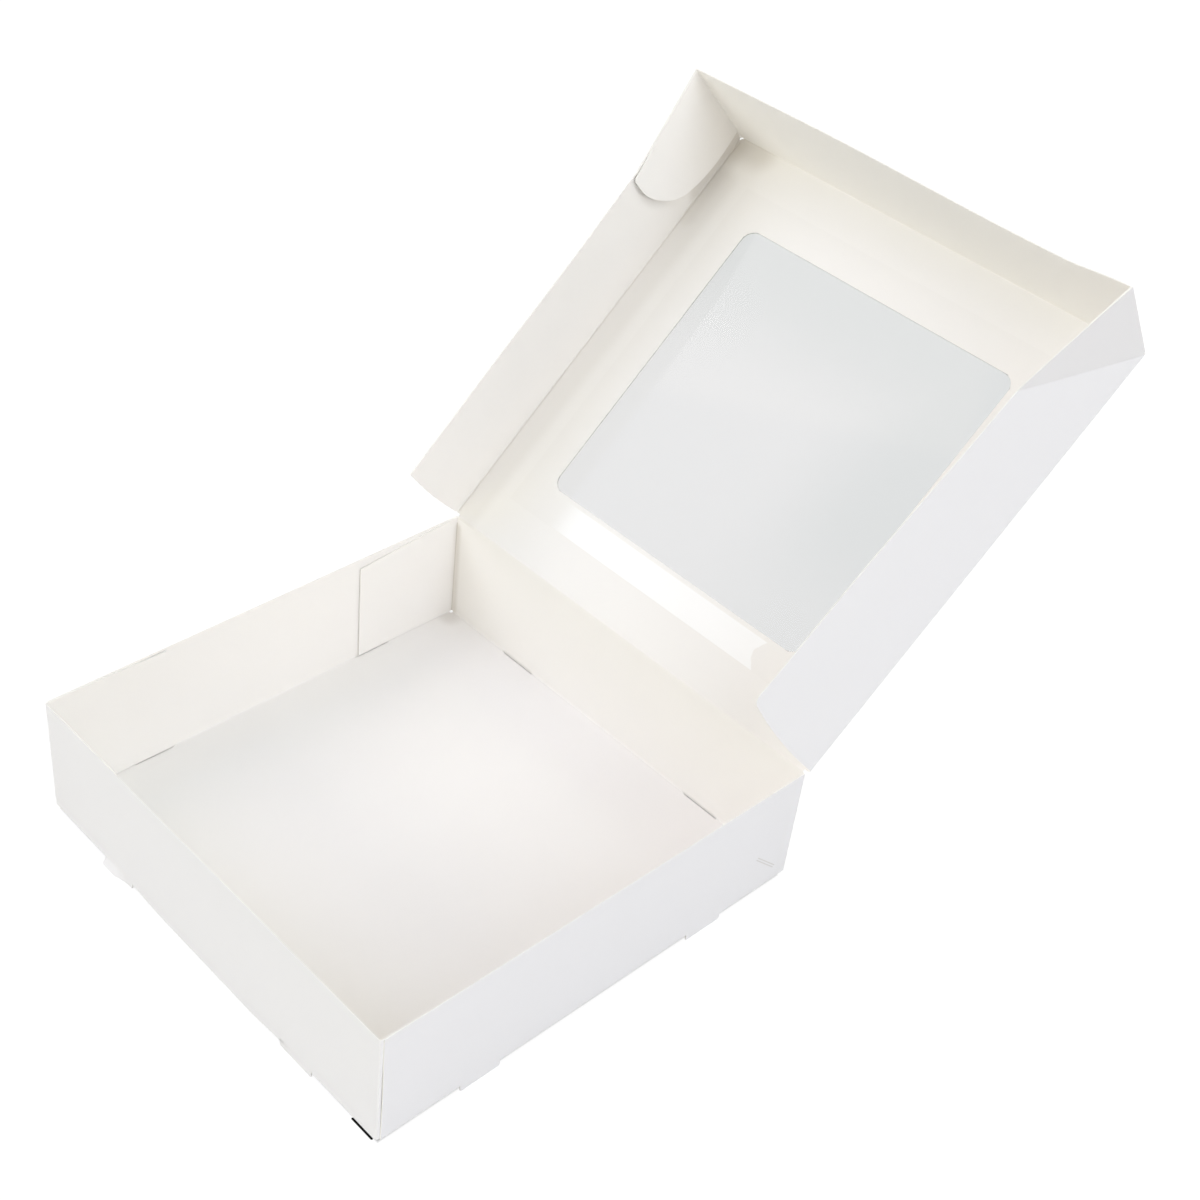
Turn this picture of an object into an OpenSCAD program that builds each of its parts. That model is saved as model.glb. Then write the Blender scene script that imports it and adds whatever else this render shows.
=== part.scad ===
// Windowed cake box: a tray and a hinged lid folded from one sheet of white paperboard,
// with a clear film glued inside the lid. The corners are glued, and diagonal scores let it fold flat.
// X runs along the hinge, Y towards the back, Z up. The origin is the centre of the floor's underside.

/* [Board] */
// Thickness of the paperboard
board = 0.5; // [0.35:0.05:0.8]
// Inner radius of every fold
fold_inner_r = 0.55; // [0.5:0.05:0.9]
// Width of a scored crease line
score_w = 0.8; // [0.4:0.1:1.5]
// Depth of a scored crease line
score_depth = 0.12; // [0.05:0.01:0.15]

/* [Tray] */
// Outer width of the tray, along the hinge
tray_w = 250; // [200:1:320]
// Outer depth of the tray, front to back
tray_d = 250; // [200:1:320]
// Height of the walls above the floor's underside
tray_h = 65; // [45:1:90]
// Gap that a side wall's raw end leaves at each corner
raw_edge_gap = 0.3; // [0.1:0.05:1]
// Radius of the relief hole at each corner of the floor
relief_r = 1; // [0.5:0.1:2]

/* [Tray ears] */
// Length of a glued ear along the side wall
ear_len = 66; // [30:1:80]
// How far an ear's top edge drops towards its free end
ear_drop = 5.5; // [0:0.5:12]
// Gap between an ear's lower edge and the floor
ear_floor_gap = 0.4; // [0.2:0.1:2]

/* [Feet] */
// Width of a foot cut from the floor
foot_w = 22.5; // [10:0.5:35]
// Height that the feet lift the floor
foot_h = 3; // [1:0.5:6]
// Distance from a corner to the nearer side of a foot
foot_from_corner = 45; // [20:1:60]
// Width of the die cut beside a foot
cut_w = 0.3; // [0.1:0.05:1]
// Radius of a foot's lower corners
foot_corner_r = 1; // [0.2:0.1:1]

/* [Lid] */
// How far the lid is open, from closed
open_angle = 139.5; // [90:0.5:180]
// Gap between the tray's side walls and the lid's ears beside them
ear_gap = 0.75; // [0.5:0.05:3]
// Gap between the tray's front wall and the lid's front flap
front_gap = 1.5; // [0.5:0.1:5]
// Gap between the tray's rim and the closed lid
rim_gap = 0.3; // [0.3:0.05:1]
// Height of the closed lid's free edges above the floor's underside
flap_rise = 1.3; // [0.5:0.1:30]
// Gap between the crease line's board and the lid's panel
hinge_gap = 0.35; // [0.35:0.05:1]
// Distance from the hinge line to the side flaps' back edges at the panel
flap_back_gap = 1.5; // [0.8:0.1:10]
// How much further forward a side flap's free corner lies
flap_taper = 3; // [0:0.5:12]

/* [Lid ears] */
// Length of the front flap's ears
lid_ear_len = 64; // [35:1:80]
// How far an ear's edge drops below the flap's free edge at its end
lid_ear_drop = 6; // [0:0.5:15]
// Radius of an ear's rounded end
lid_ear_r = 40; // [10:1:50]

/* [Window] */
// Width of the lid's frame at each side of the window
window_side = 41; // [25:0.5:70]
// Width of the lid's frame behind and in front of the window
window_end = 41; // [25:0.5:70]
// Radius of the window's corners
window_r = 7; // [2:0.5:30]
// Thickness of the clear film
film_t = 0.15; // [0.1:0.05:0.3]
// How far the film reaches past the window, where it is glued
film_lap = 18; // [6:1:22]

/* [Hidden] */
$fn = 48;
eps = 0.01;
board_white = [0.95, 0.94, 0.91];
film_clear = [0.80, 0.85, 0.85, 0.35];
fold_r = fold_inner_r + board;
hinge_y = tray_d / 2 - board / 2;
hinge_z = tray_h + rim_gap + board / 2;
hinge_clear = board / 2 + hinge_gap;
lid_w = tray_w + 2 * (ear_gap + 2 * board);
lid_l = hinge_y + tray_d / 2 + front_gap + board;
flap_h = hinge_z + board / 2 - flap_rise;
window_w = lid_w - 2 * window_side;
window_d = lid_l - hinge_clear - 2 * window_end;
panel_mid = (hinge_clear + lid_l) / 2;

// A quarter-round fold along X, from a floor under it to a wall at its +Y side.
// Its outer corner, before rounding, is the origin.
module fold_x(len) {
  translate([-len / 2, -fold_r, fold_r])
    rotate([90, 0, 90])
      linear_extrude(len)
        intersection() {
          difference() {
            circle(fold_r);
            circle(fold_r - board);
          }
          translate([0, -fold_r])
            square(fold_r);
        }
}

// A quarter-round fold that stands along Z, from a wall at its +Y side to an ear at its +X side.
module fold_z(len) {
  translate([-fold_r, -fold_r, 0])
    linear_extrude(len)
      intersection() {
        difference() {
          circle(fold_r);
          circle(fold_r - board);
        }
        square(fold_r);
      }
}

// Places its children at the start of both feet of a wall of the given length, which runs along X.
module at_feet(len) {
  for (x = [-len / 2 + foot_from_corner, len / 2 - foot_from_corner - foot_w])
    translate([x, 0, 0])
      children();
}

// One foot: the wall's own board carried on below the fold, with rounded lower corners.
module foot() {
  rotate([90, 0, 0])
    linear_extrude(board) {
      translate([0, -foot_h + foot_corner_r])
        square([foot_w, foot_h + fold_r - foot_corner_r]);
      translate([foot_corner_r, -foot_h])
        square([foot_w - 2 * foot_corner_r, 2 * foot_corner_r]);
      for (x = [foot_corner_r, foot_w - foot_corner_r])
        translate([x, -foot_h + foot_corner_r])
          circle(foot_corner_r);
    }
}

// The place that a foot leaves open in the fold and in the floor.
module foot_slot() {
  translate([-cut_w, -board - foot_h, -eps])
    cube([foot_w + 2 * cut_w, foot_h + board + eps, fold_r + eps]);
}

// A wall that stands on the floor's fold along X, its outer face at y 0, with its two feet.
module wall_x(len, fold_len, foot_span) {
  difference() {
    fold_x(fold_len);
    at_feet(foot_span)
      foot_slot();
  }
  translate([-len / 2, -board, fold_r])
    cube([len, board, tray_h - fold_r]);
  at_feet(foot_span)
    foot();
}

// A glued ear inside a side wall: it starts at the corner fold, and its top edge drops to its free end.
// It lies in the plane x from -board to 0, and runs towards -Y.
module tray_ear() {
  low = fold_r + ear_floor_gap;
  rotate([90, 0, -90])
    linear_extrude(board)
      polygon([[fold_r, low], [ear_len, low], [ear_len, tray_h - ear_drop], [fold_r, tray_h]]);
}

// A scored line that climbs at 45 degrees from the origin, cut into the face at y 0.
module diagonal_score(height) {
  rotate([0, -45, 0])
    translate([0, -score_depth, -score_w / 2])
      cube([height * sqrt(2), score_depth + eps, score_w]);
}

// A side wall with its fold, its feet and the diagonal score at its back corner, outer face at x 0.
module side_wall() {
  difference() {
    rotate([0, 0, -90])
      wall_x(tray_d - 2 * raw_edge_gap, tray_d - 2 * (fold_r + relief_r), tray_d);
    translate([0, tray_d / 2 - fold_r, fold_r])
      rotate([0, 0, -90])
        mirror([1, 0, 0])
          diagonal_score(tray_h);
  }
}

// The front or back wall with the corner folds and the ears at both its ends, outer face at y 0.
module ear_wall() {
  span = tray_w - 2 * board;
  wall_x(span - 2 * fold_r, span - 2 * (fold_r + relief_r), tray_w);
  for (side = [0, 1])
    mirror([side, 0, 0])
      translate([span / 2, 0, 0]) {
        translate([0, 0, fold_r + ear_floor_gap])
          fold_z(tray_h - fold_r - ear_floor_gap);
        tray_ear();
      }
}

// The floor, with the slots that the feet leave and a relief hole at each corner.
module floor_panel() {
  in_w = tray_w - 2 * fold_r;
  in_d = tray_d - 2 * fold_r;
  difference() {
    translate([-in_w / 2, -in_d / 2, 0])
      cube([in_w, in_d, board]);
    for (turn = [0, 180])
      rotate([0, 0, turn]) {
        translate([0, tray_d / 2, 0])
          at_feet(tray_w)
            foot_slot();
        rotate([0, 0, -90])
          translate([0, tray_w / 2, 0])
            at_feet(tray_d)
              foot_slot();
      }
    for (x = [-1, 1], y = [-1, 1])
      translate([x * in_w / 2, y * in_d / 2, -eps])
        cylinder(h = board + 2 * eps, r = relief_r);
  }
}

module tray() {
  color(board_white) {
    floor_panel();
    for (turn = [0, 1])
      mirror([0, turn, 0])
        translate([0, tray_d / 2, 0])
          ear_wall();
    for (side = [0, 1])
      mirror([side, 0, 0])
        translate([tray_w / 2, 0, 0])
          side_wall();
  }
}

// The lid is drawn closed, with the hinge line at the origin, its panel towards -Y and its flaps down,
// and is then turned about the hinge line.
module opened() {
  translate([0, hinge_y, hinge_z])
    rotate([-open_angle, 0, 0])
      children();
}

// A rectangle with rounded corners, centred.
module rounded(w, d, r) {
  square([w - 2 * r, d], center = true);
  square([w, d - 2 * r], center = true);
  for (x = [-1, 1], y = [-1, 1])
    translate([x * (w / 2 - r), y * (d / 2 - r)])
      circle(r);
}

// A lid flap that hangs from a fold along X, outer face at y 0 and panel's top at z 0.
module flap_x(len, fold_len) {
  mirror([0, 0, 1])
    fold_x(fold_len);
  translate([-len / 2, -board, -flap_h])
    cube([len, board, flap_h - fold_r]);
}

// The outline of a lid ear: straight along the flap's free edge, with one large round corner
// at the end near the panel. X runs from the corner fold to the free end, Y from panel to free edge.
module lid_ear_outline() {
  low = fold_r + ear_floor_gap;
  intersection() {
    polygon([[fold_r, low], [lid_ear_len, low], [lid_ear_len, flap_h - lid_ear_drop], [fold_r, flap_h]]);
    union() {
      square([lid_ear_len - lid_ear_r, flap_h]);
      translate([0, low + lid_ear_r])
        square([lid_ear_len, flap_h]);
      translate([lid_ear_len - lid_ear_r, low + lid_ear_r])
        circle(lid_ear_r, $fn = 96);
    }
  }
}

// The front flap with its corner folds and rounded ears, outer face at y 0 and panel's top at z 0.
module front_flap() {
  span = lid_w - 2 * board;
  flap_x(span - 2 * fold_r, span - 2 * (fold_r + relief_r));
  for (side = [0, 1])
    mirror([side, 0, 0])
      translate([span / 2, 0, 0]) {
        translate([0, 0, -flap_h])
          fold_z(flap_h - fold_r - ear_floor_gap);
        rotate([-90, 0, -90])
          translate([0, 0, -board])
            linear_extrude(board)
              lid_ear_outline();
      }
}

// The outline of a side flap, whose back edge slopes to its free corner.
// X runs forward from the hinge line, Y from panel to free edge.
module side_flap_outline() {
  front = lid_l - raw_edge_gap;
  polygon([[flap_back_gap, fold_r], [flap_back_gap + flap_taper, flap_h], [front, flap_h], [front, fold_r]]);
}

// A side flap, outer face at x 0, with the diagonal score that starts at its front corner.
module side_flap() {
  fold_len = lid_l - flap_back_gap - fold_r - relief_r;
  difference() {
    union() {
      translate([0, -flap_back_gap - fold_len / 2, 0])
        rotate([0, 0, -90])
          mirror([0, 0, 1])
            fold_x(fold_len);
      rotate([-90, 0, -90])
        translate([0, 0, -board])
          linear_extrude(board)
            side_flap_outline();
    }
    translate([0, -lid_l + fold_r, -fold_r])
      mirror([0, 0, 1])
        mirror([1, 0, 0])
          rotate([0, 0, 90])
            diagonal_score(flap_h);
  }
}

// The panel with its window, and a relief hole at each front corner.
module lid_panel() {
  in_w = lid_w - 2 * fold_r;
  difference() {
    translate([-in_w / 2, -lid_l + fold_r, -board])
      cube([in_w, lid_l - fold_r - hinge_clear, board]);
    translate([0, -panel_mid, -board - eps])
      linear_extrude(board + 2 * eps)
        rounded(window_w, window_d, window_r);
    for (x = [-1, 1])
      translate([x * in_w / 2, -lid_l + fold_r, -board - eps])
        cylinder(h = board + 2 * eps, r = relief_r);
  }
}

module lid() {
  color(board_white)
    opened()
      translate([0, 0, board / 2]) {
        lid_panel();
        translate([0, -lid_l, 0])
          mirror([0, 1, 0])
            front_flap();
        for (side = [0, 1])
          mirror([side, 0, 0])
            translate([lid_w / 2, 0, 0])
              side_flap();
      }
}

// The film lies against the panel's inner face and is glued to it round the window.
module window_film() {
  color(film_clear)
    opened()
      translate([0, -panel_mid, -board / 2 - film_t])
        linear_extrude(film_t)
          square([window_w + 2 * film_lap, window_d + 2 * film_lap], center = true);
}

tray();
lid();
window_film();
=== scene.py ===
"""Looks of a white paperboard cake box with a clear film window in its open lid.

Board pieces are grids of points on the sheet's outer face, and a live Solidify gives them the board's thickness.
Lengths are in millimetres until a mesh is made.
"""

import logging
import math
from dataclasses import dataclass, field
from enum import Enum

import bpy
import numpy as np
from mathutils import Matrix, Vector


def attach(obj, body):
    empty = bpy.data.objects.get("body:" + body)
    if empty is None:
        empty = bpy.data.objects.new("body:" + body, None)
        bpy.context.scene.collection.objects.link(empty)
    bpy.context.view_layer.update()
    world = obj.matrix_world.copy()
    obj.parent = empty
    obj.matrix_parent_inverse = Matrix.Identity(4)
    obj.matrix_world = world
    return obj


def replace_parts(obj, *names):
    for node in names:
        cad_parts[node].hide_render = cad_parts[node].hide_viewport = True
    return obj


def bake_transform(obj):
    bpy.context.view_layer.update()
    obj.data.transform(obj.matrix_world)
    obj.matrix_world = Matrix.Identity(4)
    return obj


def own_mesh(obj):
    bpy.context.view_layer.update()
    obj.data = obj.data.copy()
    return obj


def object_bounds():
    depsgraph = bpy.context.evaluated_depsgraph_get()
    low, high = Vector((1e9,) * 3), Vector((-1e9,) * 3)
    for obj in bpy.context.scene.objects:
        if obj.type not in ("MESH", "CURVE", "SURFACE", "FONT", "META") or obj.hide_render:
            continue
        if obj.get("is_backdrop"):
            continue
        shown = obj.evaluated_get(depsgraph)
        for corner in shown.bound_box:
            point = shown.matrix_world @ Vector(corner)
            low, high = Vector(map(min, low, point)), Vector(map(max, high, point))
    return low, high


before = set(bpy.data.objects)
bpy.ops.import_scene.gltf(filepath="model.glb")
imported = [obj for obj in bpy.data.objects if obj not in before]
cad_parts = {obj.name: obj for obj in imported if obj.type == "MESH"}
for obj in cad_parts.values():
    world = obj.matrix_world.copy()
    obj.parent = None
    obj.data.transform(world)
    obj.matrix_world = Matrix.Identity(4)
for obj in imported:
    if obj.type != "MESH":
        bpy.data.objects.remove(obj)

MM = 0.001
BOARD = 0.5
FOLD_R = 1.05
FOLD_STEPS = 5
WELD = 1e-4
# Darker tone that every mark mixes in, for real scores and creases and for painted shade alike.
CREASE_AND_PAINTED_SHADE_TONE = (0.60, 0.56, 0.50)
log = logging.getLogger("cake_box")


class Side(Enum):
    """The two sides of the box, as the sign of X."""

    LEFT = -1
    RIGHT = 1

    @property
    def word(self) -> str:
        """The side's name in lower case."""
        return self.name.lower()


def lines(marks: list[float], step: float) -> np.ndarray:
    """Grid lines that pass through every mark.

    Args:
        marks: Places that need a line.
        step: The widest interval allowed.

    Returns:
        Sorted places, with each interval divided evenly into parts no wider than step.
    """
    places = np.unique(np.round(np.array(marks, float), 6))
    parts = [
        np.linspace(a, b, max(1, math.ceil((b - a) / step - 1e-9)) + 1)[:-1]
        for a, b in zip(places[:-1], places[1:])
    ]
    return np.concatenate([*parts, places[-1:]])


def smooth(x: np.ndarray | float, low: float, high: float) -> np.ndarray:
    """A smooth step from 0 at low to 1 at high: three times the share squared, less twice its cube."""
    share = np.clip((np.asarray(x, float) - low) / (high - low), 0, 1)
    return share * share * (3 - 2 * share)


def bump(x: np.ndarray | float, low: float, high: float) -> np.ndarray:
    """A smooth hill between low and high with height 1: the square of a half sine."""
    share = np.clip((np.asarray(x, float) - low) / (high - low), 0, 1)
    return np.sin(share * np.pi) ** 2


def quarter() -> tuple[np.ndarray, np.ndarray]:
    """Sine and one less cosine of a quarter turn in even steps, for a fold of radius 1."""
    angle = np.linspace(0, np.pi / 2, FOLD_STEPS + 1)
    return np.sin(angle), 1 - np.cos(angle)


def linked(name: str, data: bpy.types.ID) -> bpy.types.Object:
    """A new object of some data, linked to the scene."""
    obj = bpy.data.objects.new(name, data)
    bpy.context.scene.collection.objects.link(obj)
    return obj


@dataclass
class Patch:
    """One grid of points on the outer face of a sheet.

    Attributes:
        points: Rows by columns by 3, in the row frame.
        uv: Rows by columns by 2, lengths along the sheet.
        facing: A direction that the outer face looks to on average.
        keep: Cells to keep, or None for all.
    """

    points: np.ndarray
    uv: np.ndarray
    facing: tuple[float, float, float]
    keep: np.ndarray | None = None

    def quads(self) -> np.ndarray:
        """Corner numbers of the kept cells, in the order that makes the outer face look outward."""
        rows, cols = self.points.shape[:2]
        index = np.arange(rows * cols).reshape(rows, cols)
        quads = np.stack(
            [index[:-1, :-1], index[:-1, 1:], index[1:, 1:], index[1:, :-1]], -1
        )
        keep = np.ones((rows - 1, cols - 1), bool) if self.keep is None else self.keep
        quads = quads[keep]
        flat = self.points.reshape(-1, 3)
        normals = np.cross(
            flat[quads[:, 2]] - flat[quads[:, 0]], flat[quads[:, 3]] - flat[quads[:, 1]]
        )
        if normals.sum(0) @ np.array(self.facing) < 0:
            quads = quads[:, ::-1]
        return quads


def middles(places: np.ndarray) -> np.ndarray:
    """The middle of each interval of some grid lines."""
    return (places[:-1] + places[1:]) / 2


def mesh_from(name: str, patches: list[Patch]) -> bpy.types.Object:
    """Makes one mesh object of patches, welded where their points meet.

    Args:
        name: The piece's name.
        patches: The grids, in millimetres.

    Returns:
        The object, linked to the scene and flat shaded, with its UV map in metres along the sheet.
    """
    points, uvs, quads, start = [], [], [], 0
    for patch in patches:
        flat = patch.points.reshape(-1, 3)
        points.append(flat)
        uvs.append(patch.uv.reshape(-1, 2))
        quads.append(patch.quads() + start)
        start += len(flat)
    points, uvs, quads = (np.concatenate(a) for a in (points, uvs, quads))
    _, first, number = np.unique(
        np.round(points / WELD).astype(np.int64), axis=0, return_index=True, return_inverse=True
    )
    number = number.ravel()
    faces = number[quads]
    sound = np.all(np.diff(np.sort(faces, 1), axis=1) > 0, 1)
    faces, quads = faces[sound], quads[sound]
    used, faces = np.unique(faces, return_inverse=True)
    faces = faces.reshape(-1, 4)
    mesh = bpy.data.meshes.new(name)
    mesh.from_pydata((points[first][used] * MM).tolist(), [], faces.tolist())
    layer = mesh.uv_layers.new(name="UVMap")
    layer.data.foreach_set("uv", (uvs[quads.ravel()] * MM).astype(np.float32).ravel())
    mesh.update()
    return linked(name, mesh)


def thicken(obj: bpy.types.Object, thickness: float) -> None:
    """Gives a sheet its thickness, inward from its outer face, with its own finish on each side and on its raw edge."""
    solid = obj.modifiers.new("thickness", "SOLIDIFY")
    solid.thickness = thickness * MM
    solid.offset = -1
    solid.use_even_offset = True
    solid.material_offset = 1
    solid.material_offset_rim = 2
    log.info("%s: %d faces on its outer side", obj.name, len(obj.data.polygons))


class Shader:
    """A small helper that adds nodes and links to one node tree."""

    def __init__(self, tree: bpy.types.NodeTree) -> None:
        """Starts from an empty tree."""
        self.tree = tree
        tree.nodes.clear()

    def add(self, kind: str, **values: object) -> bpy.types.Node:
        """Adds a node and sets its properties.

        Args:
            kind: The node's class name.
            **values: Properties of the node, such as operation.

        Returns:
            The new node.
        """
        node = self.tree.nodes.new(kind)
        for key, value in values.items():
            setattr(node, key, value)
        return node

    def link(self, source: bpy.types.NodeSocket, target: bpy.types.NodeSocket) -> None:
        """Joins two sockets."""
        self.tree.links.new(source, target)

    def put(self, value: object, target: bpy.types.NodeSocket) -> None:
        """Links a socket to the target, or writes a plain value on it."""
        if isinstance(value, bpy.types.NodeSocket):
            self.link(value, target)
        else:
            target.default_value = value

    def math(self, operation: str, *values: object) -> bpy.types.NodeSocket:
        """A math node on sockets or numbers, and its result."""
        node = self.add("ShaderNodeMath", operation=operation)
        for value, socket in zip(values, node.inputs):
            self.put(value, socket)
        return node.outputs[0]

    def vector(self, operation: str, *values: object) -> bpy.types.NodeSocket:
        """A vector math node on sockets or vectors, and its result, a number where the operation gives one."""
        node = self.add("ShaderNodeVectorMath", operation=operation)
        for value, socket in zip(values, node.inputs):
            self.put(value, socket)
        return node.outputs["Value" if operation in ("DOT_PRODUCT", "LENGTH") else "Vector"]

    def ramp(self, value: object, low: object, high: object, first: float, last: float) -> bpy.types.NodeSocket:
        """A smooth step from first at low to last at high."""
        node = self.add("ShaderNodeMapRange", interpolation_type="SMOOTHSTEP")
        for part, socket in zip((value, low, high, first, last), node.inputs):
            self.put(part, socket)
        return node.outputs[0]

    def mix(self, share: object, a: object, b: object) -> bpy.types.NodeSocket:
        """A colour mixed from a to b by share."""
        node = self.add("ShaderNodeMix", data_type="RGBA")
        for value, socket in ((share, node.inputs[0]), (a, node.inputs[6]), (b, node.inputs[7])):
            self.put(value, socket)
        return node.outputs[2]

    def surface(self, roughness: float, specular: float) -> bpy.types.Node:
        """A principled shader linked to a new material output.

        Args:
            roughness: Its roughness.
            specular: Its specular level, 0.5 for plain glass or plastic.

        Returns:
            The shader's node.
        """
        shader = self.add("ShaderNodeBsdfPrincipled")
        shader.inputs["Roughness"].default_value = roughness
        shader.inputs["Specular IOR Level"].default_value = specular
        self.link(shader.outputs[0], self.add("ShaderNodeOutputMaterial").inputs[0])
        return shader

    def noise(self, uv: bpy.types.NodeSocket, scale: float, detail: float = 2) -> bpy.types.NodeSocket:
        """Noise on a UV map, from 0 to 1."""
        node = self.add("ShaderNodeTexNoise")
        node.inputs["Scale"].default_value = scale
        node.inputs["Detail"].default_value = detail
        self.link(uv, node.inputs["Vector"])
        return node.outputs[0]

    def plane_mm(self, uv: bpy.types.NodeSocket) -> list[bpy.types.NodeSocket]:
        """The two places of a UV map, in millimetres."""
        split = self.add("ShaderNodeSeparateXYZ")
        self.link(uv, split.inputs[0])
        return [self.math("MULTIPLY", split.outputs[i], 1 / MM) for i in (0, 1)]

    def seen(self) -> bpy.types.NodeSocket:
        """1 for rays that show a thing to the camera, in a gloss or through the film, and 0 for rays that light it."""
        path = self.add("ShaderNodeLightPath").outputs
        rays = self.math("MAXIMUM", path["Is Camera Ray"], path["Is Glossy Ray"])
        return self.math("MAXIMUM", rays, path["Is Transmission Ray"])


def new_material(name: str) -> tuple[bpy.types.Material, Shader]:
    """An empty material with its shader helper."""
    material = bpy.data.materials.new(name)
    material.use_nodes = True
    return material, Shader(material.node_tree)


def group(name: str, inputs: dict[str, str], outputs: dict[str, str]) -> bpy.types.NodeTree:
    """An empty shader node group with the given sockets, each a name and its kind."""
    tree = bpy.data.node_groups.new(name, "ShaderNodeTree")
    for key, kind in inputs.items():
        tree.interface.new_socket(name=key, in_out="INPUT", socket_type=kind)
    for key, kind in outputs.items():
        tree.interface.new_socket(name=key, in_out="OUTPUT", socket_type=kind)
    return tree


def grain_group() -> bpy.types.NodeTree:
    """The paper's own unevenness: a slow mottle of its whiteness and a fine fibre relief.

    Returns:
        A group with the output Mottle, from 0 to 1, and the output Normal.
    """
    tree = group(
        "paper_grain",
        {"Relief": "NodeSocketFloat"},
        {"Mottle": "NodeSocketFloat", "Normal": "NodeSocketVector"},
    )
    s = Shader(tree)
    entry = s.add("NodeGroupInput")
    leave = s.add("NodeGroupOutput")
    uv = s.add("ShaderNodeTexCoord").outputs["UV"]
    relief = s.add("ShaderNodeBump")
    relief.inputs["Distance"].default_value = 0.0002
    s.link(entry.outputs["Relief"], relief.inputs["Strength"])
    s.link(s.noise(uv, 900, 4), relief.inputs["Height"])
    s.link(s.noise(uv, 38, 3), leave.inputs["Mottle"])
    s.link(relief.outputs[0], leave.inputs["Normal"])
    return tree


def mark_group() -> bpy.types.NodeTree:
    """A straight mark on the board between two places of its UV map, both in millimetres: a score, crease or scuff, or
    painted shade.

    Returns:
        A group with the inputs From, To, Width and Soft, and the output Mask: 1 on the mark, 0 away from it.
    """
    tree = group(
        "score_and_painted_shade_mark",
        {"From": "NodeSocketVector", "To": "NodeSocketVector", "Width": "NodeSocketFloat", "Soft": "NodeSocketFloat"},
        {"Mask": "NodeSocketFloat"},
    )
    s = Shader(tree)
    entry = s.add("NodeGroupInput").outputs
    leave = s.add("NodeGroupOutput")
    uv = s.vector("SCALE", s.add("ShaderNodeTexCoord").outputs["UV"])
    uv.node.inputs["Scale"].default_value = 1 / MM
    whole = s.vector("SUBTRACT", entry["To"], entry["From"])
    here = s.vector("SUBTRACT", uv, entry["From"])
    long2 = s.vector("DOT_PRODUCT", whole, whole)
    share = s.math("DIVIDE", s.vector("DOT_PRODUCT", here, whole), long2)
    share.node.use_clamp = True
    nearest = s.vector("SCALE", whole)
    s.link(share, nearest.node.inputs["Scale"])
    away = s.vector("LENGTH", s.vector("SUBTRACT", here, nearest))
    inner = s.math("MULTIPLY", entry["Width"], 0.5)
    outer = s.math("ADD", inner, entry["Soft"])
    s.link(s.ramp(away, inner, outer, 1.0, 0.0), leave.inputs["Mask"])
    return tree


@dataclass(frozen=True)
class Mark:
    """A score, crease, scuff or painted shade on the board.

    Attributes:
        start: Where it starts on the UV map, in millimetres.
        stop: Where it ends.
        width: Its full width.
        soft: How far it fades out on each side.
        tint: How much it darkens the board.
        depth: How deep it is pressed, in millimetres.
    """

    start: tuple[float, float]
    stop: tuple[float, float]
    width: float
    soft: float
    tint: float
    depth: float = 0.0

    def node(self, s: Shader, line: bpy.types.NodeTree) -> bpy.types.NodeSocket:
        """The mark's mask in a material, drawn by the group line."""
        node = s.add("ShaderNodeGroup", node_tree=line)
        node.inputs["From"].default_value = (*self.start, 0)
        node.inputs["To"].default_value = (*self.stop, 0)
        node.inputs["Width"].default_value = self.width
        node.inputs["Soft"].default_value = self.soft
        return node.outputs["Mask"]


@dataclass(frozen=True)
class BoardFinish:
    """One side of the board.

    Attributes:
        name: The material's name.
        colour: Base colour, linear.
        mottle: A second colour that the slow mottle mixes in.
        amount: Largest share of the second colour.
        roughness: Roughness of the coat.
        relief: Strength of the fibre relief.
        marks: Scores, creases, scuffs and painted shade on it.
    """

    name: str
    colour: tuple[float, float, float]
    mottle: tuple[float, float, float]
    amount: float
    roughness: float
    relief: float
    marks: tuple[Mark, ...] = ()

    def build(self, grain: bpy.types.NodeTree, line: bpy.types.NodeTree) -> bpy.types.Material:
        """The finish as a material.

        Args:
            grain: The group of the paper's unevenness.
            line: The group that draws a mark.

        Returns:
            The material.
        """
        material, s = new_material(self.name)
        shader = s.surface(self.roughness, 0.25)
        paper = s.add("ShaderNodeGroup", node_tree=grain)
        paper.inputs["Relief"].default_value = self.relief
        share = s.math("MULTIPLY", paper.outputs["Mottle"], self.amount)
        colour = s.mix(share, (*self.colour, 1), (*self.mottle, 1))
        normal = paper.outputs["Normal"]
        for mark in self.marks:
            mask = mark.node(s, line)
            # Each mark darkens the colour towards this tone: a real score or crease, or painted shade.
            shade = tuple(c * d for c, d in zip(self.colour, CREASE_AND_PAINTED_SHADE_TONE))
            colour = s.mix(s.math("MULTIPLY", mask, mark.tint), colour, (*shade, 1))
            if mark.depth:
                press = s.add("ShaderNodeBump", invert=True)
                press.inputs["Distance"].default_value = mark.depth * MM
                s.link(mask, press.inputs["Height"])
                s.link(normal, press.inputs["Normal"])
                normal = press.outputs[0]
        s.link(colour, shader.inputs["Base Color"])
        s.link(normal, shader.inputs["Normal"])
        return material


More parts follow.
